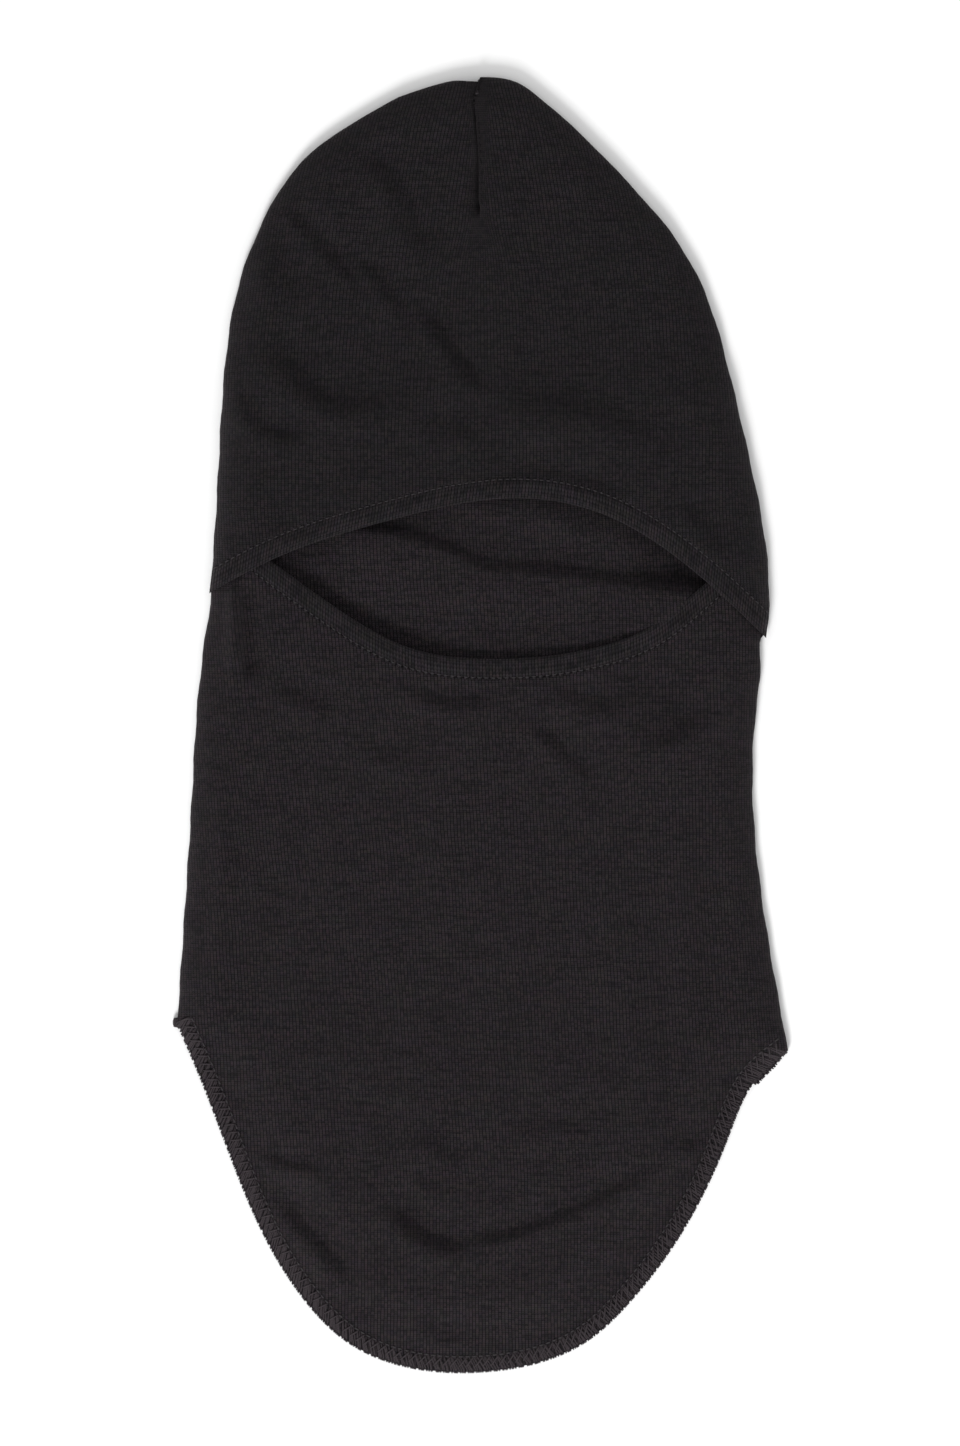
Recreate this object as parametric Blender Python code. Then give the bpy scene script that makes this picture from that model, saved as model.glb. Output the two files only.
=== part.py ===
"""Knitted balaclava lying flat with its face side up. Metres, +Z up.

X runs across the garment, +Y towards the crown, and the origin is under the middle of the
garment, on the surface that it lies on. The back is one flat layer. The front is a second
layer that stands off it by the loft and comes down to it along both sides and the crown.
Two bib flaps fold about the line between the hem's corners.
"""

import bmesh
import bpy
import numpy as np

for old in list(bpy.data.objects):
    bpy.data.objects.remove(old)

# Lengths down the garment
CAP_LENGTH = 0.2009  # crown to the level where the brow binding meets the sides
NECK_LENGTH = 0.15585  # that level to the middle of the line between the hem's corners
BIB_LENGTH = 0.12355  # that line to the lowest point of the hem

# Outline: distance from the named level, then the left and the right half width
CROWN_STATIONS = (
    (0.0074, 0.0299, 0.0221),
    (0.0223, 0.0552, 0.0389),
    (0.0372, 0.0709, 0.0534),
    (0.0521, 0.0798, 0.0668),
    (0.0744, 0.0887, 0.0813),
    (0.1042, 0.0943, 0.0915),
    (0.1413, 0.0969, 0.1003),
)  # below the crown
FACE_HALF_WIDTHS = (0.1012, 0.1075)  # at the brow binding's ends
NECK_STATIONS = (
    (0.0300, 0.1047, 0.1034),
    (0.0600, 0.1066, 0.1015),
)  # below the face level
SKIRT_STATION = (0.0366, 0.1103, 0.1073)  # above the hem's corners
HEM_HALF_WIDTHS = (0.1124, 0.1148)  # at the hem's corners
HEM_SHOULDER = (0.0153, 0.1036, 0.1035)  # below the hem's corners
HEM_SIDE = (0.0376, 0.0950, 0.0921)
HEM_TIP_STATIONS = (
    (0.0413, 0.0750, 0.0683),
    (0.0264, 0.0649, 0.0564),
    (0.0115, 0.0500, 0.0404),
)  # above the lowest point
CROWN_PEAK = 0.0040  # the highest point's place right of the middle
CROWN_LOBES = ((-0.0130, 0.0020), (0.0145, 0.0022))  # place across, and how far below the peak
HEM_PEAK = 0.0050  # the lowest point's place right of the middle
HEM_SKEW = 0.0104  # the right corner lies this much lower than the left one
FACE_SKEW = 0.0171  # and so does the brow binding's right end

# Face opening: place across, and height above the face level
BROW_ARCH = ((-0.0772, 0.0213), (-0.0370, 0.0350), (0.0080, 0.0440), (0.0523, 0.0354), (0.0835, 0.0138))
CHIN_ARCH = (
    (-0.0772, 0.0209),
    (-0.0519, 0.0027),
    (-0.0296, -0.0100),
    (0.0000, -0.0153),
    (0.0448, -0.0108),
    (0.0671, -0.0012),
    (0.0835, 0.0123),
)
CHIN_END_RISES = (0.0400, 0.0320)  # where the chin binding reaches the side seams, under the cap
BINDING_WIDTH = 0.0082
BINDING_THICKNESS = 0.0018  # three layers of cloth, pressed
TUCK = 0.0019  # the neck's sides lie this far inside the cap's where the cap laps over them

# Cloth and seams
CLOTH = 0.0010
LOFT = 0.0070  # room between the two layers
ROLL = 0.0160  # width of the side's roll, over which the front comes down to the back
OVERLOCK_WIDTH = 0.0059
SEAM_INSET = 0.0030  # from the outline to the folded seam allowance inside it
SEAM_WIDTH = 0.0060
SEAM_THICKNESS = 0.0010
SEAM_JOIN_GAP = 0.0015  # between a crown seam and the side seam below it, whose cut ends slant apart
CROWN_SEAM_END = 0.1110  # how far below the crown the crown seams stop
DART_LENGTH = 0.0502
DART_SEAM_WIDTH = 0.0050
DART_HEAD_ROOM = 0.0130  # from the crown to the dart's seam allowance
LAPPED_STITCH_INSET = 0.0320  # from the sides to where the cap hides the chin binding's stitches
TOPSTITCH_WIDTH = 0.0008
TOPSTITCH_THICKNESS = 0.0005
TOPSTITCH_INSET = 0.0008  # from the binding's sewn edge
TACK_LENGTH = 0.0034
TACK_RADIUS = 0.0011
LABEL_LENGTH = 0.0200
LABEL_WIDTH = 0.0280
LABEL_THICKNESS = 0.0004
LABEL_DROP = 0.0550  # from the face level to the label's top corner
LABEL_GAP = 0.0012  # from the seam, whose line slants past the label

GAP = 0.0003  # clearance between neighbours
FOLD_GAP = 0.0006  # clearance along the bibs' fold lines
LAYER_GAP = 0.0009  # clearance between curved neighbours, whose facets differ
LAP = BINDING_THICKNESS + LAYER_GAP  # how far the cap rides above the neck where they overlap
LAP_FADE = (0.0450, 0.0750)  # above the face level, where the cap comes down again

# Levels along Y
CROWN_Y = (CAP_LENGTH + NECK_LENGTH + BIB_LENGTH) / 2
FACE_Y = CROWN_Y - CAP_LENGTH
HEM_Y = FACE_Y - NECK_LENGTH
TIP_Y = HEM_Y - BIB_LENGTH

# Heights
BACK_TOP = CLOTH
FRONT_FOOT = BACK_TOP + GAP  # the front layer's underside along its edge

LEFT, RIGHT = -1, 1
ALONG = 22  # steps along a binding or a side
AROUND = 66  # steps round the hem
ACROSS = 20  # steps across a panel
FACET = 0.0125  # about the length of one step down a panel
FINE = 3  # times as many steps where only a distance or an offset is worked out
EDGE_ROUNDS = 12  # passes that settle where a curve meets the outline
SLOPE_STEP = 1e-4


def spline(points, at):
    """Natural cubic through points: their second column as a function of their first."""
    knots, values = np.array(sorted(points)).T
    step = np.diff(knots)
    slope = np.diff(values) / step
    size = len(knots)
    system = np.eye(size)
    rhs = np.zeros(size)
    inner = np.arange(1, size - 1)
    system[inner, inner - 1] = step[:-1]
    system[inner, inner] = 2 * (step[:-1] + step[1:])
    system[inner, inner + 1] = step[1:]
    rhs[1:-1] = 6 * np.diff(slope)
    bend = np.linalg.solve(system, rhs)
    at = np.asarray(at, float)
    cell = np.clip(np.searchsorted(knots, at) - 1, 0, size - 2)
    h = step[cell]
    right = (at - knots[cell]) / h
    left = 1 - right
    straight = left * values[cell] + right * values[cell + 1]
    curved = (left**3 - left) * bend[cell] + (right**3 - right) * bend[cell + 1]
    return straight + curved * h**2 / 6


def curve_through(points, count):
    """Points evenly along the smooth plane curve through the given ones."""
    points = np.array(points)
    reach = np.concatenate([[0], np.cumsum(np.linalg.norm(np.diff(points, axis=0), axis=1))])
    at = np.linspace(0, reach[-1], count)
    return np.stack([spline(list(zip(reach, column)), at) for column in points.T], axis=1)


def resample(points, count):
    """The same line with its points evenly spread."""
    reach = np.concatenate([[0], np.cumsum(np.linalg.norm(np.diff(points, axis=0), axis=1))])
    at = np.linspace(0, reach[-1], count)
    return np.stack([np.interp(at, reach, column) for column in points.T], axis=1)


def offset(points, distance):
    """The line moved sideways, to the left of its own direction where distance is positive."""
    along = np.gradient(points, axis=0)
    along /= np.linalg.norm(along, axis=1, keepdims=True)
    return points + distance * np.stack([-along[:, 1], along[:, 0]], axis=1)


def smoothstep(value, low, high):
    t = np.clip((value - low) / (high - low), 0, 1)
    return t * t * (3 - 2 * t)


def corner(side):
    """The hem's corner on one side."""
    return np.array([side * HEM_HALF_WIDTHS[side > 0], HEM_Y - side * HEM_SKEW / 2])


def edge(side, y):
    """The outline's place across, at height y between the hem's corner and the crown."""
    column = 1 + (side > 0)
    stations = [(CROWN_Y - row[0], row[column]) for row in CROWN_STATIONS]
    stations += [(FACE_Y, FACE_HALF_WIDTHS[side > 0])]
    stations += [(FACE_Y - row[0], row[column]) for row in NECK_STATIONS]
    stations += [(HEM_Y + SKIRT_STATION[0], SKIRT_STATION[column])]
    corner_x, corner_y = corner(side)
    stations += [(corner_y, abs(corner_x))]
    return side * spline(stations, y)


def neck_edge(side, y):
    """The neck's own edge, which draws in where the cap laps over it."""
    return edge(side, y) - side * TUCK * smoothstep(y, FACE_Y - BINDING_WIDTH, FACE_Y)


def crown_arc(count):
    drop, left, right = CROWN_STATIONS[0]
    lobes = [(x, CROWN_Y - below) for x, below in CROWN_LOBES]
    ends = [(-left, CROWN_Y - drop), (right, CROWN_Y - drop)]
    return curve_through([ends[0], lobes[0], (CROWN_PEAK, CROWN_Y), lobes[1], ends[1]], count)


def hem_side(side):
    """The hem's stations on one side, from its corner down."""
    column = 1 + (side > 0)
    rows = [(HEM_Y - row[0], row[column]) for row in (HEM_SHOULDER, HEM_SIDE)]
    rows += [(TIP_Y + row[0], row[column]) for row in HEM_TIP_STATIONS]
    return [tuple(corner(side))] + [(side * half, y) for y, half in rows]


def hem_line(count):
    """The hem from its left corner round the tip to its right corner."""
    return curve_through(hem_side(LEFT) + [(HEM_PEAK, TIP_Y)] + hem_side(RIGHT)[::-1], count)


def arch(points, end_rises, x):
    """An arch's height at x: through its points, and out to the sides."""
    ends = [(side * FACE_HALF_WIDTHS[side > 0], rise) for side, rise in zip((LEFT, RIGHT), end_rises)]
    return FACE_Y + spline([ends[0], *points, ends[1]], x)


def brow(x, above=0.0):
    """The brow binding's free edge at x, or the line that lies a width above it."""
    return widened(lambda at: arch(BROW_ARCH, (FACE_SKEW / 2, -FACE_SKEW / 2), at), x, above)


def chin(x, below=0.0):
    """The chin binding's free edge at x, or the line that lies a width below it."""
    return widened(lambda at: arch(CHIN_ARCH, CHIN_END_RISES, at), x, -below)


def widened(height, x, width):
    """A line beside y = height(x), as far from it as width, measured square to it."""
    slope = (height(x + SLOPE_STEP) - height(x - SLOPE_STEP)) / (2 * SLOPE_STEP)
    return height(x) + width * np.sqrt(1 + slope**2)


def across_line(height, side_edge, count, inset=0.0):
    """The points of y = height(x) from one side's edge to the other's."""
    ends = []
    for side in (LEFT, RIGHT):
        y = FACE_Y
        for _ in range(EDGE_ROUNDS):
            x = side_edge(side, y) - side * inset
            y = height(x)
        ends.append(x)
    x = np.linspace(*ends, count)
    return np.stack([x, height(x)], axis=1)


def side_line(side, side_edge, y_low, y_high, count):
    y = np.linspace(y_low, y_high, count)
    return np.stack([side_edge(side, y), y], axis=1)


def fold_height(x, shift):
    """The line between the hem's corners, moved up by shift, at x."""
    left, right = corner(LEFT), corner(RIGHT)
    return left[1] + shift + (x - left[0]) * (right[1] - left[1]) / (right[0] - left[0])


def fold_line(low_x, high_x, shift):
    x = np.linspace(low_x, high_x, ACROSS + 1)
    return np.stack([x, fold_height(x, shift)], axis=1)


def body_side(side, shift, count):
    """One side of the outline, from its hem corner, moved up by shift, to the crown's arc."""
    return side_line(side, edge, corner(side)[1] + shift, CROWN_Y - CROWN_STATIONS[0][0], count)


def outline():
    """The whole garment's plan outline, anticlockwise from its left corner."""
    right, left = (body_side(side, 0, FINE * ALONG) for side in (RIGHT, LEFT))
    crown = crown_arc(ACROSS)[::-1]
    return np.concatenate([hem_line(AROUND), right[1:], crown[1:], left[::-1][1:]])


OUTLINE = outline()


def edge_distance(x, y):
    """How far a point is from the outline, as the nearest of its short straight pieces."""
    point = np.stack([x, y], axis=-1)[..., None, :]
    start, end = OUTLINE[:-1], OUTLINE[1:]
    run = end - start
    t = ((point - start) * run).sum(-1) / (run**2).sum(-1)
    nearest = start + np.clip(t, 0, 1)[..., None] * run
    return np.linalg.norm(point - nearest, axis=-1).min(-1)


def front_height(x, y):
    """The front layer's underside: a quarter sine from its foot at the edge up to the loft."""
    rise = np.clip(edge_distance(x, y) / ROLL, 0, 1)
    return FRONT_FOOT + LOFT * np.sin(rise * np.pi / 2)


def cap_height(x, y):
    """The cap's underside, which rides over the neck's top corners and comes down above them."""
    fade = 1 - smoothstep(y, FACE_Y + LAP_FADE[0], FACE_Y + LAP_FADE[1])
    return front_height(x, y) + LAP * fade


def level(height):
    """A flat underside at one height."""
    return lambda x, y: np.full_like(x, height)


def coons(bottom, top, left, right):
    """The grid that four boundary lines span: rows from bottom to top, columns from left to right."""
    u = np.linspace(0, 1, len(bottom))[None, :, None]
    v = np.linspace(0, 1, len(left))[:, None, None]
    between_rows = (1 - v) * bottom[None] + v * top[None]
    between_sides = (1 - u) * left[:, None] + u * right[:, None]
    corners = (1 - v) * ((1 - u) * bottom[0] + u * bottom[-1]) + v * ((1 - u) * top[0] + u * top[-1])
    return between_rows + between_sides - corners


def ruled(low, high, steps=1):
    """The grid of straight lines between two curves of as many points."""
    t = np.linspace(0, 1, steps + 1)[:, None, None]
    return (1 - t) * low[None] + t * high[None]


def material(name, colour, roughness):
    made = bpy.data.materials.new(name)
    made.use_nodes = True
    shader = made.node_tree.nodes["Principled BSDF"]
    shader.inputs["Base Color"].default_value = (*colour, 1)
    shader.inputs["Roughness"].default_value = roughness
    shader.inputs["Metallic"].default_value = 0
    return made


def add_object(name, mesh_data, finish, parent=None):
    mesh = bpy.data.meshes.new(name)
    bmesh.ops.recalc_face_normals(mesh_data, faces=mesh_data.faces[:])
    mesh_data.to_mesh(mesh)
    mesh_data.free()
    mesh.materials.append(finish)
    made = bpy.data.objects.new(name, mesh)
    bpy.context.scene.collection.objects.link(made)
    if parent:
        made.parent = parent
        made.matrix_parent_inverse = parent.matrix_world.inverted()
    return made


def thicken(mesh_data, thickness):
    """Closes an open sheet upwards: its faces again, higher, and walls round its edge."""
    raised = bmesh.ops.extrude_face_region(mesh_data, geom=mesh_data.faces[:])
    points = [item for item in raised["geom"] if isinstance(item, bmesh.types.BMVert)]
    bmesh.ops.translate(mesh_data, verts=points, vec=(0, 0, thickness))


def layer(name, grid, underside, thickness, finish, parent=None):
    """A sheet of cloth on a plan grid, with its underside on a height function."""
    rows, columns = grid.shape[:2]
    sheet = bmesh.new()
    bmesh.ops.create_grid(sheet, x_segments=columns - 1, y_segments=rows - 1, size=0.5)
    heights = underside(grid[..., 0], grid[..., 1])
    for vert in sheet.verts:
        column = round((vert.co.x + 0.5) * (columns - 1))
        row = round((vert.co.y + 0.5) * (rows - 1))
        vert.co = (*grid[row, column], heights[row, column])
    thicken(sheet, thickness)
    return add_object(name, sheet, finish, parent)


def plate(name, rim, height, thickness, finish, parent=None):
    """A flat sheet of cloth inside a closed plan line."""
    sheet = bmesh.new()
    sheet.faces.new([sheet.verts.new((x, y, height)) for x, y in rim])
    bmesh.ops.triangulate(sheet, faces=sheet.faces[:])
    thicken(sheet, thickness)
    return add_object(name, sheet, finish, parent)


def hinge(name, height):
    """An empty on a bib's fold line, with its X axis along the fold."""
    across = corner(RIGHT) - corner(LEFT)
    made = bpy.data.objects.new(name, None)
    made.location = (*(corner(LEFT) + corner(RIGHT)) / 2, height)
    made.rotation_euler.z = float(np.arctan2(across[1], across[0]))
    bpy.context.scene.collection.objects.link(made)
    bpy.context.view_layer.update()
    return made


def steps_down(length):
    return round(length / FACET)


def panel_sides(bottom, top, side_edge, length):
    """A front panel's left and right edges, between the ends of its lower and upper ones."""
    ends = ((LEFT, 0), (RIGHT, -1))
    count = steps_down(length) + 1
    return [side_line(side, side_edge, bottom[end, 1], top[end, 1], count) for side, end in ends]


def add_cap(cloth):
    bottom = across_line(lambda x: brow(x, BINDING_WIDTH + GAP), edge, ACROSS + 1)
    top = crown_arc(ACROSS + 1)
    sides = panel_sides(bottom, top, edge, CAP_LENGTH)
    layer("cap_front_panel", coons(bottom, top, *sides), cap_height, CLOTH, cloth)


def add_neck(cloth):
    bottom = fold_line(corner(LEFT)[0], corner(RIGHT)[0], FOLD_GAP / 2)
    top = across_line(lambda x: chin(x, BINDING_WIDTH + GAP), neck_edge, ACROSS + 1)
    sides = panel_sides(bottom, top, neck_edge, NECK_LENGTH)
    layer("neck_front_panel", coons(bottom, top, *sides), front_height, CLOTH, cloth)


def add_bindings(cloth, thread):
    free = across_line(brow, edge, ALONG + 1)
    sewn = across_line(lambda x: brow(x, BINDING_WIDTH), edge, ALONG + 1)
    layer("upper_face_binding", ruled(free, sewn, 2), cap_height, BINDING_THICKNESS, cloth)
    free = across_line(chin, neck_edge, ALONG + 1)
    sewn = across_line(lambda x: chin(x, BINDING_WIDTH), neck_edge, ALONG + 1)
    layer("lower_face_binding", ruled(sewn, free, 2), front_height, BINDING_THICKNESS, cloth)
    near = BINDING_WIDTH - TOPSTITCH_INSET
    far = near - TOPSTITCH_WIDTH
    add_topstitch("upper_binding_topstitch", brow, (far, near), SEAM_INSET, cap_height, thread)
    add_topstitch("lower_binding_topstitch", chin, (near, far), LAPPED_STITCH_INSET, front_height, thread)


def add_topstitch(name, line, widths, inset, height, thread):
    """A row of stitches on a binding, between two distances from its free edge."""
    lines = [across_line(lambda x, w=width: line(x, w), edge, ALONG + 1, inset) for width in widths]
    lift = BINDING_THICKNESS + LAYER_GAP
    layer(name, ruled(*lines), lambda x, y: height(x, y) + lift, TOPSTITCH_THICKNESS, thread)


def add_back(cloth):
    """The back from the hem's corners to the crown."""
    right, left = (body_side(side, FOLD_GAP / 2, ALONG) for side in (RIGHT, LEFT))
    rim = np.concatenate([right, crown_arc(ACROSS)[::-1][1:-1], left[::-1]])
    plate("back_panel", rim, 0, CLOTH, cloth)


def bib_lines():
    """The bib's fold edge, and its sewn hem edge inside the overlock, corner to corner."""
    hem = resample(offset(hem_line(FINE * AROUND), OVERLOCK_WIDTH + LAYER_GAP), FINE * AROUND)
    hem = hem[hem[:, 1] < fold_height(hem[:, 0], -FOLD_GAP / 2)]
    fold = fold_line(hem[0, 0], hem[-1, 0], -FOLD_GAP / 2)
    return fold, np.concatenate([fold[:1], hem, fold[-1:]])


def add_bibs(cloth, front_hinge, back_hinge):
    fold, hem = bib_lines()
    third = len(hem) // 3  # the hem's two sides and its tip bound the panel with the fold
    count = steps_down(BIB_LENGTH) + 1
    left = resample(hem[: third + 1][::-1], count)
    bottom = resample(hem[third:-third], ACROSS + 1)
    right = resample(hem[-third - 1 :], count)
    layer("front_bib_flap", coons(bottom, fold, left, right), front_height, CLOTH, cloth, front_hinge)
    rim = resample(hem, AROUND)
    plate("back_bib_flap", rim, 0, CLOTH, cloth, back_hinge)


def add_overlocks(thread, front_hinge, back_hinge):
    """The overlocked hems: a band of thread round each bib's edge, from corner to corner."""
    outer = hem_line(AROUND)
    inner = offset(outer, OVERLOCK_WIDTH)
    for line in (outer, inner):
        line[:, 1] = np.minimum(line[:, 1], fold_height(line[:, 0], -FOLD_GAP / 2))
    grid = ruled(outer, inner)
    layer("front_hem_overlock", grid, front_height, CLOTH, thread, front_hinge)
    layer("back_hem_overlock", grid, level(0), CLOTH, thread, back_hinge)


def add_side_seams(thread):
    """The overlocked seam allowances, folded flat inside each side and over the crown."""
    crown_end = CROWN_Y - CROWN_STATIONS[1][0]
    join = CROWN_Y - CROWN_SEAM_END
    for side, word in ((LEFT, "left"), (RIGHT, "right")):
        low = corner(side)[1] + FOLD_GAP + SEAM_WIDTH
        add_seam(f"{word}_side_seam", side, low, join - SEAM_JOIN_GAP, thread)
        add_seam(f"{word}_crown_seam", side, join, crown_end, thread)


def add_seam(name, side, low, high, thread):
    """A strip that follows one side of the outline, inside it, between two levels."""
    line = side_line(side, edge, low, high, ALONG // 2)
    inward = side * SEAM_INSET
    near = offset(line, inward)
    far = offset(line, inward + side * SEAM_WIDTH)
    layer(name, ruled(near, far), level(FRONT_FOOT), SEAM_THICKNESS, thread)


def add_dart_seams(thread):
    """The dart's seam allowances, under the cap's crown and on the back's."""
    high, low = CROWN_Y - DART_HEAD_ROOM, CROWN_Y - DART_LENGTH
    lines = upright_lines(0, DART_SEAM_WIDTH, low, high)
    under = SEAM_THICKNESS + LAYER_GAP
    layer("front_dart_seam", ruled(*lines), lambda x, y: cap_height(x, y) - under, SEAM_THICKNESS, thread)
    layer("back_dart_seam", ruled(*lines), level(FRONT_FOOT), SEAM_THICKNESS, thread)


def upright_lines(low_x, high_x, low_y, high_y):
    y = np.linspace(low_y, high_y, ALONG // 4)
    return [np.stack([np.full_like(y, x), y], axis=1) for x in (low_x, high_x)]


def add_corner_tack(thread):
    """The overlock's thread tail, sewn back on itself beside the hem's left corner."""
    tack = bmesh.new()
    bmesh.ops.create_uvsphere(tack, u_segments=12, v_segments=8, radius=TACK_RADIUS)
    bmesh.ops.scale(tack, verts=tack.verts[:], vec=(1, TACK_LENGTH / (2 * TACK_RADIUS), 1))
    x, y = corner(LEFT)
    place = (x - TACK_RADIUS - GAP, y, TACK_RADIUS)
    bmesh.ops.translate(tack, verts=tack.verts[:], vec=place)
    add_object("left_corner_tack", tack, thread)


def add_label(tape):
    """A blank care label, caught in the right side seam and lying on the back's inside."""
    top = FACE_Y - LABEL_DROP
    outer = edge(RIGHT, top) - SEAM_INSET - SEAM_WIDTH - LABEL_GAP
    lines = upright_lines(outer - LABEL_LENGTH, outer, top - LABEL_WIDTH, top)
    layer("care_label", ruled(*lines), level(FRONT_FOOT), LABEL_THICKNESS, tape)


def build():
    cap_cloth = material("cap_wool_knit", (0.0160, 0.0144, 0.0160), 0.9)
    neck_cloth = material("neck_wool_knit", (0.0194, 0.0176, 0.0190), 0.9)
    binding_cloth = material("binding_wool_rib", (0.0176, 0.0160, 0.0176), 0.9)
    thread = material("charcoal_thread", (0.0307, 0.0242, 0.0273), 0.7)
    tape = material("satin_label_tape", (0.0232, 0.0212, 0.0222), 0.5)
    front_hinge = hinge("front_bib_fold", FRONT_FOOT + LOFT + CLOTH)
    back_hinge = hinge("back_bib_fold", 0)
    add_cap(cap_cloth)
    add_neck(neck_cloth)
    add_bindings(binding_cloth, thread)
    add_back(neck_cloth)
    add_bibs(neck_cloth, front_hinge, back_hinge)
    add_overlocks(thread, front_hinge, back_hinge)
    add_side_seams(thread)
    add_dart_seams(thread)
    add_corner_tack(thread)
    add_label(tape)


build()
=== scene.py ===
from functools import partial

import bpy
import numpy as np
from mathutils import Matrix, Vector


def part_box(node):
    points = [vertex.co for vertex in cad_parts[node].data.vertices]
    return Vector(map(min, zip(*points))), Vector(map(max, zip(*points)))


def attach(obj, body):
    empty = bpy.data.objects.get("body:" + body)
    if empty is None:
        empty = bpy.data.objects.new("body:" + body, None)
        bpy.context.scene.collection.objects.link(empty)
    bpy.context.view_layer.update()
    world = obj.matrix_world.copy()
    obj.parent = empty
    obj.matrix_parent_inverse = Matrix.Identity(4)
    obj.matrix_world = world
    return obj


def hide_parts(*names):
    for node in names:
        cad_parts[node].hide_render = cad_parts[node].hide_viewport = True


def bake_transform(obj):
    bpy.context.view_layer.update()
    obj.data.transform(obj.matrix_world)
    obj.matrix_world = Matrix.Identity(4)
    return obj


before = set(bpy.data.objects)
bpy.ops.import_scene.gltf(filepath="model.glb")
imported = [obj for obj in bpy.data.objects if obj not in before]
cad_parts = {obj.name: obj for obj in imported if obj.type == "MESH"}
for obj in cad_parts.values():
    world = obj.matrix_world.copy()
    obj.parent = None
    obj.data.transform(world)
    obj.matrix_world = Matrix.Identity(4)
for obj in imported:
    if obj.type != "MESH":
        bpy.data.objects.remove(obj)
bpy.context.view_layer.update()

# Levels along Y, from the CAD parts' boxes: +Y runs to the crown
CROWN_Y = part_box("back_panel")[1][1]
TIP_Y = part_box("back_hem_overlock")[0][1]
FACE_Y = CROWN_Y - 0.2009
HEM_Y = FACE_Y - 0.15585

# Outline: distance from the named level, then the left and the right half width
CROWN_STATIONS = (
    (0.0074, 0.0299, 0.0221), (0.0223, 0.0552, 0.0389), (0.0372, 0.0709, 0.0534),
    (0.0521, 0.0798, 0.0668), (0.0744, 0.0887, 0.0813), (0.1042, 0.0943, 0.0915),
    (0.1413, 0.0969, 0.1003),
)  # below the crown
FACE_HALF_WIDTHS = (0.1012, 0.1075)
NECK_STATIONS = (
    (0.03, 0.1047, 0.1034), (0.06, 0.1066, 0.1015),
)  # below the face level
SKIRT_STATION = (0.0366, 0.1103, 0.1073)  # above the hem's corners
HEM_HALF_WIDTHS = (0.1124, 0.1148)
HEM_SHOULDER = (0.0153, 0.1036, 0.103)  # below the hem's corners
HEM_SIDE = (0.0376, 0.095, 0.0921)
HEM_TIP_STATIONS = (
    (0.0413, 0.075, 0.0683), (0.0264, 0.0649, 0.0564), (0.0115, 0.05, 0.0404),
)  # above the lowest point
CROWN_PEAK = 0.004  # the highest point's place across
CROWN_LOBES = ((-0.013, 0.002), (0.0145, 0.0022))  # place across, and how far below the peak
HEM_PEAK = 0.005  # the lowest point's place across
HEM_SKEW = 0.0104  # the right corner lies this much lower than the left one
FACE_SKEW = 0.0171  # and so does the brow binding's right end
BACK_HEM_PEEK = 0.0017  # the back's hem shows this far outside the front's at the right corner
PEEK_START = (0.0052, 0.011)  # between these drops below the hem's middle line
PEEK_END = (0.0162, 0.0178)

# Face opening: place across, and height above the face level
BROW_ARCH = ((-0.0772, 0.0213), (-0.037, 0.035), (0.008, 0.044), (0.0523, 0.0354), (0.0835, 0.0138))
CHIN_ARCH = (
    (-0.0772, 0.0209), (-0.0519, 0.0027), (-0.0296, -0.01), (0.0, -0.0153), (0.0448, -0.0108),
    (0.0671, -0.0012), (0.0835, 0.0123),
)
CHIN_END_RISES = (0.04, 0.032)  # where the chin binding reaches the sides, under the cap
BINDING_WIDTH = 0.0082
BINDING_HALF_THICKNESS = 0.00115
BINDING_LAP = 0.0008  # the cloth's edge lies this far under its binding
CHIN_BAND_INSET = 0.0004
TUCK = (0.0007, 0.0021)  # how far the neck draws in below the brow binding, at the left and at the right
TUCK_RUN = 0.016

# Cloth and stitches
CLOTH = 0.001
ABOVE_FLOOR = 0.00002  # no cloth lies lower than this
FRONT_CLOTH = 0.9 * CLOTH  # the neck's front is stretched a little thinner
LOFT = 0.0068  # how far the front's outer face rises above its foot
LAP = 0.0025  # the cap rides this much higher, over the neck
LAP_FADE = (0.079, 0.101)  # above the face level, where the cap comes down again
ROLL = 0.015  # width of the roll down which the front's sides run to their foot
ROLL_SPARE = 0.0027  # how much longer the roll's arc is than its width
ROUND_ABOVE = 0.12  # the height where the cap's sides start to turn in to the crown
HEM_RISE = 0.028  # the front bib rises over this width from the hem
FOOT = 0.00225  # the front cloth's outer face along the sides
HEM_FOOT = 0.0033  # and along the hem
HEM_LIFT = 0.0006  # the back cloth rides this high over the hem's threads
RIM_CURL = 0.0012  # the back's sides turn up this much
RIM_WIDTH = 0.003
WALE = 0.001216  # from rib to rib
COURSE = 0.00079  # from loop to loop along a rib
STITCH = 0.00253  # from topstitch to topstitch
OVERLOCK_WIDTH = 0.0059
OVERLOCK_PITCH = 0.0031
OVERLOCK_SLANT = 0.75  # a strand's lean, as a share of its width
GROUP_SHARE = 0.8  # of a stitch that its strands cover
CROSSING_LEAN = 0.75  # of a stitch that a crossing thread leans
STRAND_RADIUS = 0.0003
TUBE_END = 0.45  # a thread's ends are drawn in to this share of its radius
TOPSTITCH_PLACE = 0.87  # share of a binding's width
RIB_RELIEF = 0.00035
SEAM_INSET = 0.003  # from the outline to the seam allowance inside it
SEAM_WIDTH = 0.006
CROWN_SEAM_END = 0.111  # below the crown
SEAM_JOIN_GAP = 0.0015  # between a crown seam and the side seam below it
ALLOWANCE = 0.0006  # a seam allowance's thickness
ALLOWANCE_TOP = 0.0021
DART_LENGTH = 0.0502
DART_HEAD_ROOM = 0.013  # from the crown to the dart's seam allowance
DART_SEAM_SIDES = (0.0003, 0.0047)  # the allowance's fold and raw edge, across
BACK_DART_DEPTH = 0.3  # share of the front dart's depth
LOBE_STEP = 0.0017  # the left lobe of the crown stops this far short of the right one at the dart
LOBE_DEPTH = 0.03  # the step fades out this far below the crown
LOBE_WIDTH = 0.012
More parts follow.
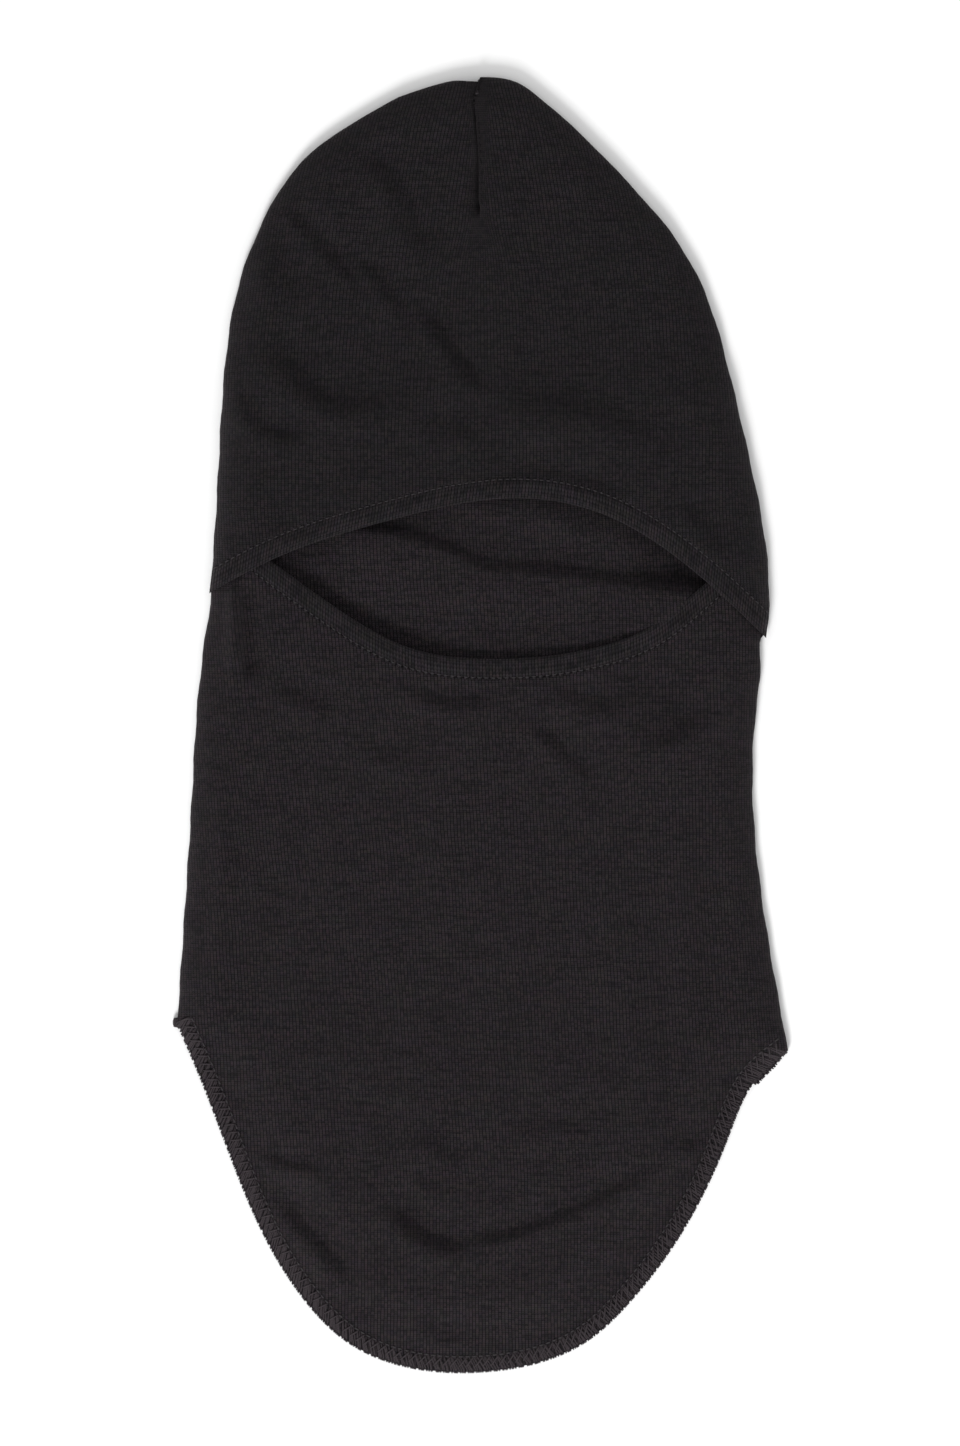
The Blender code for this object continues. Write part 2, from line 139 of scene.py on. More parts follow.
LABEL_THICKNESS = 0.0004
TACK_IN = 0.0012  # the thread tail lies this far inside the hem's corner
DART_LINE = (
    (0.0, 0.0002), (0.0078, -0.0016), (0.015, -0.0013), (0.032, 0.0002), (0.0502, 0.0002),
    (0.15, 0.0002),
)  # below the crown, and across
DART_LINE_END = DART_LINE[-1][0]

# Folds in the cloth, in millimetres: depth, half width, then points across and along; ridges are negative
CAP_FOLDS = (
    (2.4, 4.5, (-52, 212), (-37, 210), (-27, 199), (-20, 180), (-16, 168)),
    (1.8, 3, (-74, 196), (-60, 182), (-50, 171), (-40, 160)),
    (1.6, 3, (-48, 179), (-34, 164), (-27, 154), (-23.5, 136)),
    (2.4, 3.4, (-26, 165), (-12, 145), (-2, 131), (6, 121)),
    (2.6, 5, (-80, 148), (-69, 137), (-60, 126), (-47, 122), (-25, 129)),
    (1.8, 3.8, (-95, 131), (-85, 119), (-77, 111), (-69, 110), (-60, 116)),
    (1, 4.2, (-22, 117), (-8, 112), (5, 109)),
    (2.4, 7, (5, 132), (20, 126), (41, 122), (55, 117), (73, 107)),
    (1.2, 3.4, (-4, 89), (12, 94.5), (30, 94.5), (48, 89), (62, 80)),
    (2, 4, (76, 86), (86, 74), (94, 62)),
    (-1.2, 4, (76, 127), (80, 111), (79, 94)),
    (2.2, 7, (-79, 192), (-73, 174), (-65, 157)),
)
NECK_FOLDS = (
    (4.2, 2.8, (-86.8, 58), (-86, 38), (-85.2, 12)),
    (2.4, 11, (48, 26), (68, 14), (90, 8)),
    (1.4, 3.4, (-76, 16), (-64, 11), (-52, 6)),
    (1.6, 3.4, (-30, 20), (-17, 12), (-2, 10.6), (12, 15)),
    (1.4, 3.6, (26, 17), (40, 11), (56, 9)),
    (1.6, 4, (56, -8), (70, -2), (85, 8)),
    (1.8, 2.8, (19, 4), (30, -7), (43, -21)),
    (1, 4, (-42, -10), (-30, -9), (-18, -5)),
    (0.9, 4.5, (59.5, -40), (60.5, -75), (61.5, -108)),
    (0.9, 4.5, (85, -35), (86, -80), (87, -120)),
    (0.9, 4, (-92.5, -60), (-92, -85), (-91.5, -108)),
    (-1.2, 3, (-94.7, -25.1), (-96, -60), (-97, -103.2)),
    (-0.9, 6, (11.2, -26.3), (12, -65), (11.2, -95)),
    (1.2, 2.6, (69, -100), (70, -136), (69, -166)),
    (1.1, 3.8, (8, -151), (23, -146), (45, -150)),
    (1.6, 3.8, (-23, -147), (-14, -155), (-6, -164)),
    (1.2, 3.2, (-25, -166), (-19, -169), (-12, -172)),
    (1, 3.6, (-42, -138), (-37, -150), (-31, -162)),
    (1.6, 2.8, (-83, -158), (-69, -162), (-55, -164)),
    (3.2, 4.2, (-76, -169), (-63, -186), (-53, -196), (-44, -213)),
    (3, 3.6, (-35, -174), (-23, -186), (-13, -191.5), (1, -191)),
    (2, 2.6, (-18, -191), (5, -189), (30, -181), (52, -170), (74, -160)),
    (0.9, 3.4, (62, -152), (75, -154), (86, -156)),
    (1.2, 4, (-29, -215), (-15, -223.5), (1, -226), (19, -231)),
)
BACK_FOLDS = (
    (-1.2, 7, (-66.8, 56), (-22.1, 50), (7.6, 47), (52.3, 41.6)),
    (-2, 6, (-30, 85), (7.6, 80), (45, 70), (70, 64)),
    (0.8, 3, (-30, 57), (0, 54), (25, 52)),
)
# Inside the opening the back's cloth laps up to a crest along this line and falls off steeply beyond it
BACK_CREST = (
    (-0.062, 0.0735), (-0.048, 0.072), (-0.032, 0.0695), (-0.011, 0.063), (0.003, 0.057),
    (0.0216, 0.0555), (0.0402, 0.053), (0.06, 0.0505), (0.09, 0.048),
)
OPENING_LIFT = 0.003  # the back's cloth rises this much inside the opening
CHIN_RISE = 0.0022  # and this much more to meet the chin band
CREST_HEIGHT = 0.0034
CREST_RISE = 0.018  # how far the crest's long side runs
CREST_FALL = 0.0022  # and its short one
FOLD_GENTLE = 2.2  # a fold's upper side is this many times as wide as its lower side
FOLD_CREST = 1.9  # the crest lies this many half widths below a fold's line
FOLD_CREST_SHARE = 0.65  # and is this share of its depth high
FOLD_FADE = 0.3  # share of a fold's length over which each end fades
UNEVEN = 0.0005  # the cloth's gentle unevenness
DART_DIP = 0.0015
DART_END_DIP = 0.0026  # how much deeper the dart's dip gets at its lower end
DART_PROUD = 0.001
DART_SEAM = 1e-6  # a point this far right of the dart's line belongs to its right side

METRE = 1000  # in millimetres
UP = np.array([0, 0, 1.0])
LEFT, RIGHT = -1, 1
CROWDING = 0.75  # 0 spaces a grid's lines evenly, 1 crowds them towards the sides as much as a cosine does
ENDS = ((LEFT, 0), (RIGHT, -1))  # each side, with the end of a line that runs from left to right


# ---- plane curves ----


def spline(points, at):
    """Natural cubic through points: their second column as a function of their first."""
    knots, values = np.array(sorted(points)).T
    step = np.diff(knots)
    slope = np.diff(values) / step
    size = len(knots)
    system = np.eye(size)
    rhs = np.zeros(size)
    inner = np.arange(1, size - 1)
    system[inner, inner - 1] = step[:-1]
    system[inner, inner] = 2 * (step[:-1] + step[1:])
    system[inner, inner + 1] = step[1:]
    rhs[1:-1] = 6 * np.diff(slope)
    bend = np.linalg.solve(system, rhs)
    at = np.asarray(at, float)
    cell = np.clip(np.searchsorted(knots, at) - 1, 0, size - 2)
    h = step[cell]
    right = (at - knots[cell]) / h
    left = 1 - right
    straight = left * values[cell] + right * values[cell + 1]
    curved = (left**3 - left) * bend[cell] + (right**3 - right) * bend[cell + 1]
    return straight + curved * h**2 / 6


def reach_of(points):
    """The distance run along a line at each of its points."""
    return np.concatenate([[0], np.cumsum(np.linalg.norm(np.diff(points, axis=0), axis=1))])


def curve_through(points, count):
    """Points evenly along the smooth curve through the given ones."""
    points = np.array(points)
    reach = reach_of(points)
    at = np.linspace(0, reach[-1], count)
    return np.stack([spline(list(zip(reach, column)), at) for column in points.T], axis=1)


def resample(points, at):
    """The line's points at the given shares of its length."""
    reach = reach_of(points)
    return np.stack([np.interp(at * reach[-1], reach, column) for column in points.T], axis=-1)


def offset(points, distance):
    """The line moved sideways, to the left of its own direction where distance is positive."""
    along = np.gradient(points, axis=0)
    along /= np.linalg.norm(along, axis=1, keepdims=True)
    return points + distance * np.stack([-along[:, 1], along[:, 0]], axis=1)


def smoothstep(value, low, high):
    """0 up to low, 1 from high on, and a smooth step between."""
    t = np.clip((value - low) / (high - low), 0, 1)
    return t * t * (3 - 2 * t)


def nearest_of(x, y, line, numbers):
    """The least distance to the numbered pieces of a line, and the place there, counted in pieces."""
    best, place = np.full(x.shape, 1.0), np.zeros(x.shape)
    for number in numbers:
        start = line[number]
        run = line[number + 1] - start
        across, along = x - start[..., 0], y - start[..., 1]
        t = np.clip((across * run[..., 0] + along * run[..., 1]) / (run**2).sum(-1), 0, 1)
        gap = np.hypot(across - t * run[..., 0], along - t * run[..., 1])
        closer = gap < best
        best, place = np.where(closer, gap, best), np.where(closer, number + t, place)
    return best, place


def nearest(x, y, line, stride=1):
    """Each point's distance to a line, and the share of the line run there.

    Every stride-th piece is tried first, and then the pieces beside the nearest of those.
    """
    last = len(line) - 2
    best, place = nearest_of(x, y, line, range(0, last + 1, stride))
    if stride > 1:
        beside = np.floor(place).astype(int) + np.arange(1 - stride, stride).reshape(-1, *[1] * x.ndim)
        best, place = nearest_of(x, y, line, np.clip(beside, 0, last))
    return best, place / (last + 1)


# ---- the garment's outline ----


def corner(side):
    """The hem's corner on one side."""
    return np.array([side * HEM_HALF_WIDTHS[side > 0], HEM_Y - side * HEM_SKEW / 2])


def edge(side, y):
    """The outline's place across, at height y between the hem's corner and the crown."""
    column = 1 + (side > 0)
    stations = [(CROWN_Y - row[0], row[column]) for row in CROWN_STATIONS]
    stations += [(FACE_Y, FACE_HALF_WIDTHS[side > 0])]
    stations += [(FACE_Y - row[0], row[column]) for row in NECK_STATIONS]
    stations += [(HEM_Y + SKIRT_STATION[0], SKIRT_STATION[column])]
    corner_x, corner_y = corner(side)
    stations += [(corner_y, abs(corner_x))]
    waver = 0.00018 * np.sin(y * 310 + side) + 0.00004 * np.sin(y * 1130 + 2 * side)  # 20 mm and 6 mm waves
    return side * (spline(stations, y) + waver * smoothstep(y, corner_y, corner_y + 0.01))


def tuck(side, y):
    """How far the neck draws in below the brow binding's end, which laps over it."""
    end = FACE_Y - side * FACE_SKEW / 2
    depth = np.where(np.asarray(side) < 0, *TUCK)
    return depth * smoothstep(y, end - TUCK_RUN, end - 0.001)


def neck_edge(side, y):
    """The outline, drawn in below the brow binding's end."""
    return edge(side, y) - side * tuck(side, y)


def back_tuck(side, y):
    """The back draws in with the neck, and comes out again under the cap."""
    end = FACE_Y - side * FACE_SKEW / 2
    return tuck(side, y) * (1 - smoothstep(y, end, end + 0.004))


def back_edge(side, y):
    """The back piece's own edge."""
    return edge(side, y) - side * back_tuck(side, y)


def crown_arc(count):
    """The crown's line from left to right: a smooth curve over its two lobes and its peak."""
    drop, left, right = CROWN_STATIONS[0]
    lobes = [(x, CROWN_Y - below) for x, below in CROWN_LOBES]
    ends = [(edge(LEFT, CROWN_Y - drop), CROWN_Y - drop), (edge(RIGHT, CROWN_Y - drop), CROWN_Y - drop)]
    return curve_through([ends[0], lobes[0], (CROWN_PEAK, CROWN_Y), lobes[1], ends[1]], count)


def hem_side(side):
    """The hem's stations on one side, from its corner down."""
    column = 1 + (side > 0)
    rows = [(HEM_Y - row[0], row[column]) for row in (HEM_SHOULDER, HEM_SIDE)]
    rows += [(TIP_Y + row[0], row[column]) for row in HEM_TIP_STATIONS]
    return [tuple(corner(side))] + [(side * half, y) for y, half in rows]


def hem_line(count, peek=0.0):
    """The hem from corner to corner round the tip; peek is a short step out below the right corner."""
    line = curve_through(hem_side(LEFT) + [(HEM_PEAK, TIP_Y)] + hem_side(RIGHT)[::-1], count)
    drop = HEM_Y - line[:, 1]
    there = smoothstep(drop, *PEEK_START) * (1 - smoothstep(drop, *PEEK_END)) * (line[:, 0] > 0)
    return offset(line, -peek * there[:, None])


def widened(height, x, width):
    """A line beside y = height(x), as far from it as width, measured square to it."""
    step = 1e-4
    slope = (height(x + step) - height(x - step)) / (2 * step)
    return height(x) + width * np.sqrt(1 + slope**2)


def arch(points, end_rises, x):
    """The height at x of a smooth curve through the points, whose ends have rises of their own."""
    ends = [(side * FACE_HALF_WIDTHS[side > 0], rise) for side, rise in zip((LEFT, RIGHT), end_rises)]
    return FACE_Y + spline([ends[0], *points, ends[1]], x)


def brow(x, above=0.0):
    """The brow binding's free edge at x, or the line that lies a width above it."""
    return widened(lambda at: arch(BROW_ARCH, (FACE_SKEW / 2, -FACE_SKEW / 2), at), x, above)


def chin(x, below=0.0):
    """The chin binding's free edge at x, or the line that lies a width below it."""
    return widened(lambda at: arch(CHIN_ARCH, CHIN_END_RISES, at), x, -below)


def across_line(height, side_edge, count, inset=0.0):
    """The points of y = height(x) from one side's edge to the other's, evenly along it."""
    ends = []
    for side in (LEFT, RIGHT):
        y = FACE_Y
        for _ in range(12):
            x = side_edge(side, y) - side * inset
            y = height(x)
        ends.append(x)
    x = np.linspace(*ends, 4 * count)
    return resample(np.stack([x, height(x)], axis=1), np.linspace(0, 1, count))


def side_line(side, side_edge, y):
    """The points of a side's edge at heights y."""
    return np.stack([side_edge(side, y), y], axis=1)


def body_side(side, count):
    """One side, from the hem's corner up to the crown's first station."""
    return side_line(side, edge, np.linspace(corner(side)[1], CROWN_Y - CROWN_STATIONS[0][0], count))


def outline():
    """The whole outline: the hem, up the right side, over the crown and down the left side."""
    right, left = (resample(body_side(side, 2000), np.linspace(0, 1, 700)) for side in (RIGHT, LEFT))
    return np.concatenate([hem_line(640), right[1:], crown_arc(120)[::-1][1:], left[::-1][1:]])


OUTLINE = outline()
FOLD_ACROSS = corner(RIGHT) - corner(LEFT)
FOLD_MIDDLE = (corner(RIGHT) + corner(LEFT)) / 2
FOLD_UP = np.array([-FOLD_ACROSS[1], FOLD_ACROSS[0]]) / np.linalg.norm(FOLD_ACROSS)


def above_fold(x, y):
    """How far a point is above the line between the hem's corners."""
    return (x - FOLD_MIDDLE[0]) * FOLD_UP[0] + (y - FOLD_MIDDLE[1]) * FOLD_UP[1]


# ---- the cloth's heights ----


def folds(x, y, rows, crest_share=FOLD_CREST_SHARE):
    """The sum of soft folds, each fading at its line's ends: a bell-shaped valley along the line.

    Where a line runs from left to right its valley is steep and crested on the hem's side, and gentle above.
    The crest is q exp(1 - q), where q is the square of the distance over the crest's own.
    """
    total = np.zeros(x.shape)
    for depth, width, *points in rows:
        depth, width = depth / METRE, width / METRE
        line = curve_through(np.array(points) / METRE, 14)
        gap, share = nearest(x, y, line)
        fade = smoothstep(share, 0, FOLD_FADE) * smoothstep(1 - share, 0, FOLD_FADE)
        leans = bool(np.all(np.diff(line[:, 0]) > 0))
        above = leans & (y > np.interp(x, line[:, 0], line[:, 1]))
        valley = np.exp(-((gap / (width * np.where(above, FOLD_GENTLE, 1))) ** 2))
        run = (gap / (FOLD_CREST * width)) ** 2
        crested = (leans & ~above) * run * np.exp(1 - run)
        total -= depth * fade * (valley - crest_share * crested)
    return total


def ripple(x, y, size, seed):
    """A gentle unevenness: the sum of eight waves in seeded directions, 14 to 60 mm long."""
    rng = np.random.default_rng(seed)
    total = np.zeros(x.shape)
    for _ in range(8):
        turn, phase = rng.uniform(0, 2 * np.pi, 2)
        number = 2 * np.pi / rng.uniform(0.014, 0.06)
        total += np.sin(number * (x * np.cos(turn) + y * np.sin(turn)) + phase)
    return size * total / 8


def roll(distance):
    """A quarter circle: nothing at the edge, full height at the roll's width."""
    t = np.clip(distance / ROLL, 0, 1)
    return np.sqrt(1 - (1 - t) ** 2)


def front_top(x, y, inset=0.0, lap=0.0):
    """The front cloth's outer face: rolled down to its foot at the sides, and flatter to the hem."""
    distance, _ = nearest(x, y, OUTLINE, 10)
    bib = 1 - smoothstep(above_fold(x, y), -0.018, 0.012)
    foot = FOOT + (HEM_FOOT - FOOT) * bib
    rise = roll(distance - inset) * (1 - bib) + smoothstep(distance, 0, HEM_RISE) * bib
    return foot + (LOFT + lap) * rise, smoothstep(distance, 0, 0.012)


def neck_top(x, y):
    """The neck and front bib's outer face: the front's dome with the neck's folds."""
    height, inside = front_top(x, y, tuck(np.sign(x), y))
    return height + inside * (folds(x, y, NECK_FOLDS) + ripple(x, y, UNEVEN, 3))


def cap_top(x, y):
    """The cap's outer face: the front's dome, higher over the neck, with the cap's folds and its dart."""
    fade = 1 - smoothstep(y, FACE_Y + LAP_FADE[0], FACE_Y + LAP_FADE[1])
    height, inside = front_top(x, y, 0.0, LAP * fade)
    return height + inside * (folds(x, y, CAP_FOLDS) + ripple(x, y, UNEVEN, 5) + dart(x, y))


def from_dart(x, y):
    """How far a point lies to the right of the dart's line, and the share of the dart's length run there."""
    drop = CROWN_Y - y
    return x - spline(DART_LINE, np.clip(drop, 0, DART_LINE_END)), drop / DART_LENGTH


def dart(x, y):
    """The dart: its left side dips to the seam, deeper and wider at its end; its right side is proud."""
    across, share = from_dart(x, y)
    there = 1 - smoothstep(share, 0.92, 1.06)
    end = smoothstep(share, 0.5, 0.8)
    depth = DART_DIP * smoothstep(share, 0.06, 0.34) + DART_END_DIP * end
    dip = depth * np.exp(-((across / (0.0008 + 0.0018 * end)) ** 2)) * (across < DART_SEAM)
    proud = DART_PROUD * (1 - 0.6 * share) * np.exp(-np.abs(across) / 0.007) * (across > DART_SEAM)
    return there * (proud - dip)


def dart_lap(x, y):
    """How far the cloth beside the dart moves across, so that its right side laps over its left."""
    across, share = from_dart(x, y)
    there = smoothstep(share, 0.22, 0.42) * (1 - smoothstep(share, 0.9, 1.0))
    reach = 0.0005 + 0.0003 * smoothstep(share, 0.4, 0.7)
    return there * reach * np.where(across > DART_SEAM, -1.0, 0.8) * np.exp(-((across / 0.002) ** 2))


def crest(x, y):
    """A lapped fold: a long rise up to the crest line, a short steep fall, then a pocket at the right."""
    beyond = y - spline(BACK_CREST, np.clip(x, BACK_CREST[0][0], BACK_CREST[-1][0]))
    profile = np.exp(-((beyond / np.where(beyond < 0, CREST_RISE, CREST_FALL)) ** 2))
    across = smoothstep(x, -0.066, -0.046) * (1 - smoothstep(x, 0.07, 0.088))
    pocket = OPENING_LIFT * smoothstep(x, 0.045, 0.075) * smoothstep(beyond, -0.001, 0.003)
    return CREST_HEIGHT * profile * across - pocket


def chin_rise(x, y):
    """How far the back's cloth rises to meet the chin band, everywhere but at the opening's left end."""
    apart = smoothstep(x, -0.035, 0.005) + 1 - smoothstep(x, -0.073, -0.056)
    return CHIN_RISE * apart * np.exp(-(((y - chin(x)) / 0.01) ** 2))


def back_top(x, y):
    """The back cloth's inner face: flat on the surface but for its rim, its hem and a few folds."""
    distance, _ = nearest(x, y, OUTLINE, 10)
    distance = distance - back_tuck(np.sign(x), y)
    bib = 1 - smoothstep(above_fold(x, y), -0.012, 0.006)
    curl = RIM_CURL * (1 - bib) * np.clip(1 - distance / RIM_WIDTH, 0, 1) ** 2
    hem = HEM_LIFT * bib * (1 - smoothstep(distance, 0.006, 0.012))
    opening = smoothstep(y, 0.0, 0.025) * (1 - smoothstep(y, 0.085, 0.105))
    lift = folds(x, y, BACK_FOLDS, 0.0) + crest(x, y) + OPENING_LIFT + chin_rise(x, y)
    return CLOTH + curl + hem + smoothstep(distance, 0.006, 0.024) * opening * lift


# ---- knit directions ----


def wale_of(x, y):
    """How many ribs across a point lies: the ribs lean with the neck and run into the crown's dart."""
    lean = 0.06 * np.clip(0.03 - y, -0.05, 0.2)
    spread = 1 - 0.5 * np.clip(y + 0.06, 0, 0.1)
    climb = np.clip((y - 0.1) / 0.14, 0, 1) ** 2
    below_dart = smoothstep(CROWN_Y - y, DART_LENGTH, DART_LENGTH + 0.04)
    toward = 0.014 * climb * np.tanh(x / (0.002 + 0.02 * below_dart))
    return (x * spread - lean + toward + ripple(x, y, 0.00035, 21)) / WALE


def knit_uv(points, rolled=False):
    """Places on the knit, in ribs and courses; a rolled edge carries more cloth than its plan shows."""
    x, y = points[..., 0], points[..., 1]
    if rolled:
        distance, _ = nearest(x, y, OUTLINE, 10)
        flat = smoothstep(above_fold(x, y), -0.018, 0.012)
        spare = ROLL_SPARE * np.clip(1 - distance / ROLL, 0, 1) ** 2.2 * flat
        up = np.maximum(y - ROUND_ABOVE, 0)
        out = np.hypot(x, up) + 1e-9
        x, y = x + spare * x / out, y + spare * up / out
    return np.stack([wale_of(x, y), (y + ripple(x, y, 0.0006, 22)) / COURSE], axis=-1)


# ---- meshes ----


def add_mesh(name, points, faces, uv, finish):
    """A mesh from its points, arrays of faces of one size each, and every point's place on the knit."""
    mesh = bpy.data.meshes.new(name)
    mesh.vertices.add(len(points))
    mesh.vertices.foreach_set("co", np.ascontiguousarray(points, np.float32).ravel())
    corners = np.concatenate([group.ravel() for group in faces])
    sizes = np.concatenate([np.full(len(group), group.shape[1]) for group in faces])
    mesh.loops.add(len(corners))
    mesh.loops.foreach_set("vertex_index", corners.astype(np.int32))
    mesh.polygons.add(len(sizes))
    mesh.polygons.foreach_set("loop_start", np.concatenate([[0], np.cumsum(sizes)[:-1]]).astype(np.int32))
    mesh.update(calc_edges=True)
    mesh.uv_layers.new(name="Knit").data.foreach_set("uv", uv[corners].astype(np.float32).ravel())
    mesh.shade_smooth()
    mesh.materials.append(finish)
    mesh.validate()
    made = bpy.data.objects.new(name, mesh)
    bpy.context.scene.collection.objects.link(made)
    return made


def grid_quads(index):
    """The four-cornered faces of a grid of vertex numbers."""
    return np.stack([index[:-1, :-1], index[:-1, 1:], index[1:, 1:], index[1:, :-1]], axis=-1).reshape(-1, 4)


def normals_of(grid):
    """The unit normals of a grid of points: the cross product of its two directions."""
    across = np.gradient(grid, axis=1)
    along = np.gradient(grid, axis=0)
    normal = np.cross(across, along)
    return normal / np.maximum(np.linalg.norm(normal, axis=-1, keepdims=True), 1e-12)


def rim_of(index):
    """A grid's border, anticlockwise seen from above."""
    return np.concatenate([index[0, :-1], index[:-1, -1], index[-1, :0:-1], index[:0:-1, 0]])


def cloth_sheet(name, outer, thickness, uv, finish, groove=0.0, flat=False):
    """A closed sheet: an outer face, the same moved inwards along its normals, and a wall round the edge."""
    inner = outer - thickness * (UP if flat else normals_of(outer))
    inner[..., 2] = np.maximum(inner[..., 2], ABOVE_FLOOR) + np.maximum(groove, 0)
    index = np.arange(outer[..., 0].size).reshape(outer.shape[:2])
    rim = rim_of(index)
    after = np.roll(rim, -1)
    wall = np.stack([rim, rim + index.size, after + index.size, after], axis=1)
    faces = [grid_quads(index), grid_quads(index)[:, ::-1] + index.size, wall]
    points = np.concatenate([outer.reshape(-1, 3), inner.reshape(-1, 3)])
    return add_mesh(name, points, faces, np.concatenate([uv.reshape(-1, 2)] * 2), finish)


def coons(bottom, top, left, right, u, v):
    """The grid that four boundary lines span, with its columns at u and its rows at v."""
    u = u[None, :, None]
    v = v[:, None, None]
    between_rows = (1 - v) * bottom[None] + v * top[None]
    between_sides = (1 - u) * left[:, None] + u * right[:, None]
    corners = (1 - v) * ((1 - u) * bottom[0] + u * bottom[-1]) + v * ((1 - u) * top[0] + u * top[-1])
    return between_rows + between_sides - corners


def lifted(plan, z):
    """Points of the plan at heights z."""
    return np.concatenate([plan, z[..., None]], axis=-1)


def raised(plan, height):
    """Points of the plan at the height of a surface there."""
    return lifted(plan, height(plan[..., 0], plan[..., 1]))


def both_ends(count):
    """Shares from 0 to 1 that crowd towards both ends."""
    even = np.linspace(0, 1, count)
    return CROWDING * (1 - np.cos(np.pi * even)) / 2 + (1 - CROWDING) * even


def towards_end(count):
    """Shares from 0 to 1 that crowd towards 1."""
    even = np.linspace(0, 1, count)
    return CROWDING * np.sin(np.pi / 2 * even) + (1 - CROWDING) * even


def tubes(name, paths, radius, sides, across, finish, uv_scale=(1000.0, 1.0)):
    """Round threads: rings of the given radius about each path, squared to it from one steady direction."""
    count, steps = paths.shape[:2]
    along = np.gradient(paths, axis=1)
    run = np.linalg.norm(along, axis=-1)
    along /= run[..., None]
    side = across - (across * along).sum(-1, keepdims=True) * along
    side /= np.linalg.norm(side, axis=-1, keepdims=True)
    up = np.cross(along, side)
    turn = np.linspace(0, 2 * np.pi, sides, endpoint=False)
    size = radius * np.ones(steps)
    size[[0, -1]] *= TUBE_END
    ring = side[:, :, None] * np.cos(turn)[:, None] + up[:, :, None] * np.sin(turn)[:, None]
    points = paths[:, :, None] + size[:, None, None] * ring
    index = np.arange(count * steps * sides).reshape(count, steps, sides)
    round_again = np.roll(index, -1, axis=2)
    wall = np.stack([index[:, :-1], round_again[:, :-1], round_again[:, 1:], index[:, 1:]], axis=-1)
    caps = np.concatenate([index[:, 0, ::-1], index[:, -1]])
    length = np.cumsum(run, axis=1) * uv_scale[0] + 7.3 * np.arange(count)[:, None]
    uv = np.stack(np.broadcast_arrays(length[:, :, None], turn * uv_scale[1] / (2 * np.pi)), axis=-1)
    return add_mesh(name, points.reshape(-1, 3), [wall.reshape(-1, 4), caps], uv.reshape(-1, 2), finish)


# ---- materials ----


def made_node(tree, kind, settings=(), **inputs):
    """A node with its settings and inputs, each a value or a node's output; iN is input number N."""
    node = tree.nodes.new(kind)
    for name, value in dict(settings).items():
        setattr(node, name, value)
    for name, value in inputs.items():
        slot = node.inputs[int(name[1:]) if name[1:].isdigit() else name]
        if isinstance(value, bpy.types.NodeSocket):
            tree.links.new(value, slot)
        else:
            slot.default_value = value
    return node


def maths(tree, operation, *values):
    """The output of one math node."""
    inputs = {f"i{number}": value for number, value in enumerate(values)}
    return made_node(tree, "ShaderNodeMath", {"operation": operation}, **inputs).outputs[0]


def point(tree, across, along):
    """The output of a node that joins two numbers to a place."""
    return made_node(tree, "ShaderNodeCombineXYZ", X=across, Y=along).outputs[0]


def mixed(tree, share, first, second, blend="MIX"):
    """The output of a node that mixes two colours."""
    settings = {"data_type": "RGBA", "blend_type": blend}
    return made_node(tree, "ShaderNodeMix", settings, i0=share, i6=first, i7=second).outputs[2]


def tinted(tree, colour, noise, strength):
    """A colour varied by a coloured noise about its middle grey."""
    about = (1 - strength / 2,) * 3
    settings = {"operation": "MULTIPLY_ADD"}
    swing = made_node(tree, "ShaderNodeVectorMath", settings, i0=noise, i1=(strength,) * 3, i2=about)
    return mixed(tree, 1.0, colour, swing.outputs[0], "MULTIPLY")


def new_finish(name, roughness, specular, sheen):
    """A material with its plain values set, its node tree and its shader."""
    finish = bpy.data.materials.new(name)
    finish.use_nodes = True
    shader = finish.node_tree.nodes["Principled BSDF"]
    shader.inputs["Roughness"].default_value = roughness
    shader.inputs["Specular IOR Level"].default_value = specular
    shader.inputs["Sheen Weight"].default_value = sheen
    shader.inputs["Sheen Roughness"].default_value = 0.5
    shader.inputs["Sheen Tint"].default_value = (0.20, 0.175, 0.19, 1)
    return finish, finish.node_tree, shader


def dress(tree, shader, colour, height, strength, distance):
    """Gives the shader its colour, and its relief as bump."""
    bump = made_node(tree, "ShaderNodeBump", Strength=strength, Distance=distance, Height=height)
    tree.links.new(colour, shader.inputs["Base Color"])
    tree.links.new(bump.outputs[0], shader.inputs["Normal"])


